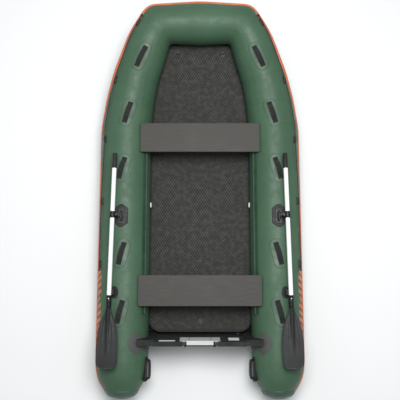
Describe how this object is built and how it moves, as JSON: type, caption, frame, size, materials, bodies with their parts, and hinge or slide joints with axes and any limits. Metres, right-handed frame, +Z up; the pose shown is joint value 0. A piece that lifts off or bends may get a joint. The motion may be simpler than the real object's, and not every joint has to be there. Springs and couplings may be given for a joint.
{
  "type": "inflatable dinghy",
  "caption": "Open inflatable rowing dinghy with a blunt raised bow, air floor, motor transom, sliding bench seats, strap handles, side lifelines and oars stowed in swivel rowlocks.",
  "frame": {"origin": "on the ground under the middle of the hull's box", "axes": "+Y to the bow, +X to starboard, +Z up"},
  "size_m": [1.555, 3.03, 0.543],
  "materials": {
    "green_pvc": "satin",
    "grey_pvc": "satin",
    "black_pvc": "satin",
    "orange_rubber": "satin",
    "deck_pvc": "matte",
    "track_rubber": "satin",
    "black_plastic": "satin",
    "black_rubber": "matte",
    "white_plastic": "satin",
    "webbing": "matte",
    "rope": "matte",
    "seat_board": "matte",
    "transom_ply": "satin",
    "plate_alloy": "satin",
    "steel": "satin"
  },
  "bodies": {
    "root": {"air_deck": "deck_pvc", "bottom_skin": "black_pvc", "bulkheads": "green_pvc", "deck_rings": "black_plastic", "deck_tab": "deck_pvc", "deck_valve": "black_plastic", "drain_valve": "black_plastic", "handle_patches": "green_pvc", "handle_straps": "webbing", "keel_tube": "grey_pvc", "label_plates": "white_plastic", "lifeline_port": "rope", "lifeline_starboard": "rope", "motor_bolts": "steel", "motor_pad": "black_plastic", "motor_plate": "plate_alloy", "oar_rests": "black_rubber", "oarlock_axles": "steel", "oarlock_brackets": "black_plastic", "oarlock_pads": "black_rubber", "rope_holders": "black_plastic", "rope_knots": "rope", "rub_strake": "orange_rubber", "seat_tracks": "track_rubber", "stern_caps": "grey_pvc", "stern_handles": "black_plastic", "tow_patch": "black_rubber", "transom_board": "transom_ply", "transom_edging": "black_rubber", "transom_holders": "black_rubber", "transom_patches": "grey_pvc", "tube_bow": "green_pvc", "tube_port": "green_pvc", "tube_starboard": "green_pvc", "tube_valves": "black_plastic"},
    "oar_block_port": {"swivel_block_port": "black_plastic"},
    "oar_clamp_port": {"oar_clamp_port": "black_plastic"},
    "oar_port": {"oar_shaft_port": "plate_alloy", "oar_grip_port": "black_rubber", "oar_collars_port": "black_rubber", "oar_blade_port": "black_plastic"},
    "snap_button_port": {"snap_button_port": "steel"},
    "valve_cap_port": {"valve_cap_port": "white_plastic"},
    "oar_block_starboard": {"swivel_block_starboard": "black_plastic"},
    "oar_clamp_starboard": {"oar_clamp_starboard": "black_plastic"},
    "oar_starboard": {"oar_shaft_starboard": "plate_alloy", "oar_grip_starboard": "black_rubber", "oar_collars_starboard": "black_rubber", "oar_blade_starboard": "black_plastic"},
    "snap_button_starboard": {"snap_button_starboard": "steel"},
    "valve_cap_starboard": {"valve_cap_starboard": "white_plastic"},
    "seat_fore": {"seat_fore": "seat_board", "seat_fore_hangers": "black_plastic"},
    "seat_aft": {"seat_aft": "seat_board", "seat_aft_hangers": "black_plastic"},
    "deck_valve_cap": {"deck_valve_cap": "white_plastic"},
    "valve_cap_bow": {"valve_cap_bow": "white_plastic"},
    "drain_plug": {"drain_plug": "white_plastic"},
    "tow_ring": {"tow_ring": "steel"}
  },
  "joints": [
    {"name": "oar_dip_port", "type": "hinge", "parent": "root", "child": "oar_block_port", "pos_m": [-0.584, -0.18, 0.417], "axis": [0, -1, 0], "range_deg": [-50, 4]},
    {"name": "oar_sweep_port", "type": "hinge", "parent": "oar_block_port", "child": "oar_clamp_port", "pos_m": [-0.612, -0.18, 0.452], "axis": [0, 0, -1], "range_deg": [0, 140]},
    {"name": "oar_feather_port", "type": "hinge", "parent": "oar_clamp_port", "child": "oar_port", "pos_m": [-0.64199, -0.17942, 0.452], "axis": [-0.0192, -0.9998, 0], "range_deg": [0, 90]},
    {"name": "snap_press_port", "type": "slide", "parent": "oar_port", "child": "snap_button_port", "axis": [0, 0, -1], "range_m": [0, 0.004], "stiffness_N_per_m": 400, "springref_m": -0.002},
    {"name": "valve_cap_turn_port", "type": "hinge", "parent": "root", "child": "valve_cap_port", "pos_m": [-0.38596, -0.06833, 0.2031], "axis": [0.9986, 0.0003, 0.0534], "range_deg": [0, 90]},
    {"name": "oar_dip_starboard", "type": "hinge", "parent": "root", "child": "oar_block_starboard", "pos_m": [0.584, -0.18, 0.417], "axis": [0, 1, 0], "range_deg": [-50, 4]},
    {"name": "oar_sweep_starboard", "type": "hinge", "parent": "oar_block_starboard", "child": "oar_clamp_starboard", "pos_m": [0.612, -0.18, 0.452], "axis": [0, 0, 1], "range_deg": [0, 140]},
    {"name": "oar_feather_starboard", "type": "hinge", "parent": "oar_clamp_starboard", "child": "oar_starboard", "pos_m": [0.64199, -0.17942, 0.452], "axis": [-0.0192, 0.9998, 0], "range_deg": [0, 90]},
    {"name": "snap_press_starboard", "type": "slide", "parent": "oar_starboard", "child": "snap_button_starboard", "axis": [0, 0, -1], "range_m": [0, 0.004], "stiffness_N_per_m": 400, "springref_m": -0.002},
    {"name": "valve_cap_turn_starboard", "type": "hinge", "parent": "root", "child": "valve_cap_starboard", "pos_m": [0.38596, -0.06833, 0.2031], "axis": [-0.9986, 0.0003, 0.0534], "range_deg": [0, 90]},
    {"name": "seat_fore_slide", "type": "slide", "parent": "root", "child": "seat_fore", "axis": [0, -1, 0], "range_m": [0, 0.45]},
    {"name": "seat_aft_slide", "type": "slide", "parent": "root", "child": "seat_aft", "axis": [0, 1, 0], "range_m": [0, 0.4]},
    {"name": "deck_cap_turn", "type": "hinge", "parent": "root", "child": "deck_valve_cap", "pos_m": [0, -0.954, 0.14], "axis": [0, 0, 1], "range_deg": [0, 90]},
    {"name": "bow_cap_turn", "type": "hinge", "parent": "root", "child": "valve_cap_bow", "pos_m": [0.2975, 1.02694, 0.24459], "axis": [-0.9327, -0.237, -0.2719], "range_deg": [0, 90]},
    {"name": "drain_plug_pull", "type": "slide", "parent": "root", "child": "drain_plug", "axis": [0, 0.9848, 0.1736], "range_m": [0, 0.03]},
    {"name": "tow_ring_swing", "type": "hinge", "parent": "root", "child": "tow_ring", "pos_m": [0, 1.49309, 0.27361], "axis": [1, 0, 0], "range_deg": [0, 110]}
  ]
}
